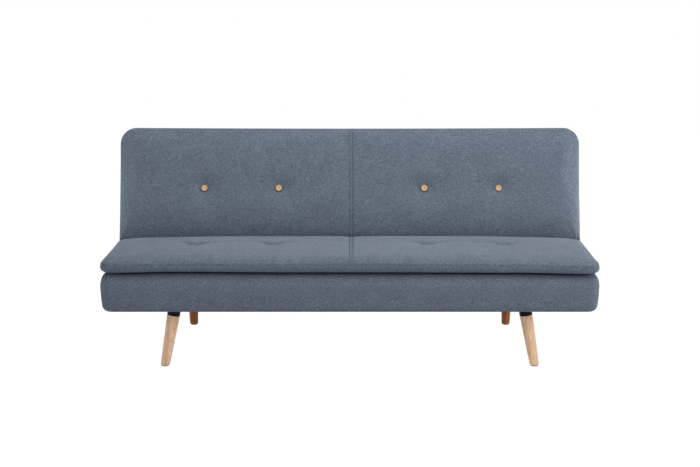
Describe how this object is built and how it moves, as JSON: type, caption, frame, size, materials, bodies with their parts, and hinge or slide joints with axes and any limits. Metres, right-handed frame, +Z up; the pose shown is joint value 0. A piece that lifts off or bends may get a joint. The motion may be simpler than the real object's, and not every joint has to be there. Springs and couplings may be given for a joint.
{
  "type": "futon sofa bed",
  "caption": "Armless click-clack sofa bed in slate blue-grey fabric, tufted seat pad, buttoned backrest that folds flat, splayed oak legs with black collars.",
  "frame": {"origin": "on the floor, under the middle of the box round the upright sofa", "axes": "X along the width, Y from the front of the seat to the back, Z up"},
  "size_m": [1.78, 0.8366, 0.8158],
  "materials": {
    "cover_fabric": "matte",
    "oak": "satin",
    "button_wood": "satin",
    "black_plastic": "gloss",
    "felt": "matte",
    "black_steel": "satin",
    "zinc_steel": "satin",
    "rubber": "matte",
    "pine": "matte",
    "foam": "matte",
    "dust_cloth": "matte",
    "webbing": "matte"
  },
  "bodies": {
    "base": {"bed_bumpers": "rubber", "collar_front_left": "black_plastic", "collar_front_right": "black_plastic", "collar_rear_left": "black_plastic", "collar_rear_right": "black_plastic", "foot_glides": "felt", "front_cross_tube": "black_steel", "hinge_bracket_left": "black_steel", "hinge_bracket_right": "black_steel", "hinge_pins": "zinc_steel", "leg_front_left": "oak", "leg_front_right": "oak", "leg_inserts": "zinc_steel", "leg_plates": "zinc_steel", "leg_rear_left": "oak", "leg_rear_right": "oak", "middle_cross_tube": "black_steel", "pad_core": "foam", "pad_lower_panel": "cover_fabric", "pad_tuft_ties": "webbing", "pad_upper_panel": "cover_fabric", "pawl_pins": "zinc_steel", "pawl_springs": "zinc_steel", "plate_screws": "zinc_steel", "rear_cross_tube": "black_steel", "runner_end_caps": "black_plastic", "runner_left": "black_steel", "runner_right": "black_steel", "seat_bearers": "pine", "seat_bolts": "zinc_steel", "seat_cover": "cover_fabric", "seat_dust_cover": "dust_cloth", "seat_end_rails": "pine", "seat_foam": "foam", "seat_front_rail": "pine", "seat_middle_rail": "pine", "seat_rear_rail": "pine", "seat_springs": "zinc_steel", "spring_clips": "zinc_steel"},
    "backrest": {"arm_bolts": "zinc_steel", "arm_nuts": "zinc_steel", "back_bottom_rail": "pine", "back_cover": "cover_fabric", "back_end_stiles": "pine", "back_foam": "foam", "back_hinge_stiles": "pine", "back_middle_stile": "pine", "back_outer_rails": "pine", "back_rear_panel": "cover_fabric", "back_top_rail": "pine", "back_webbing": "webbing", "button_cords": "webbing", "button_left_inner": "button_wood", "button_left_outer": "button_wood", "button_right_inner": "button_wood", "button_right_outer": "button_wood", "hinge_arm_left": "zinc_steel", "hinge_arm_right": "zinc_steel"},
    "pawl_left": {"pawl_left": "zinc_steel"},
    "pawl_right": {"pawl_right": "zinc_steel"}
  },
  "joints": [
    {"name": "backrest_recline", "type": "hinge", "parent": "base", "child": "backrest", "pos_m": [0, 0.14398, 0.353], "axis": [-1, 0, 0], "range_deg": [-8, 77]},
    {"name": "pawl_left_lift", "type": "hinge", "parent": "base", "child": "pawl_left", "pos_m": [-0.632, 0.17398, 0.321], "axis": [-1, 0, 0], "range_deg": [0, 9]},
    {"name": "pawl_right_lift", "type": "hinge", "parent": "base", "child": "pawl_right", "pos_m": [0.632, 0.17398, 0.321], "axis": [-1, 0, 0], "range_deg": [0, 9]}
  ],
  "couplings": [
    {"joint": "pawl_right_lift", "follows": "pawl_left_lift", "ratio": 1}
  ]
}
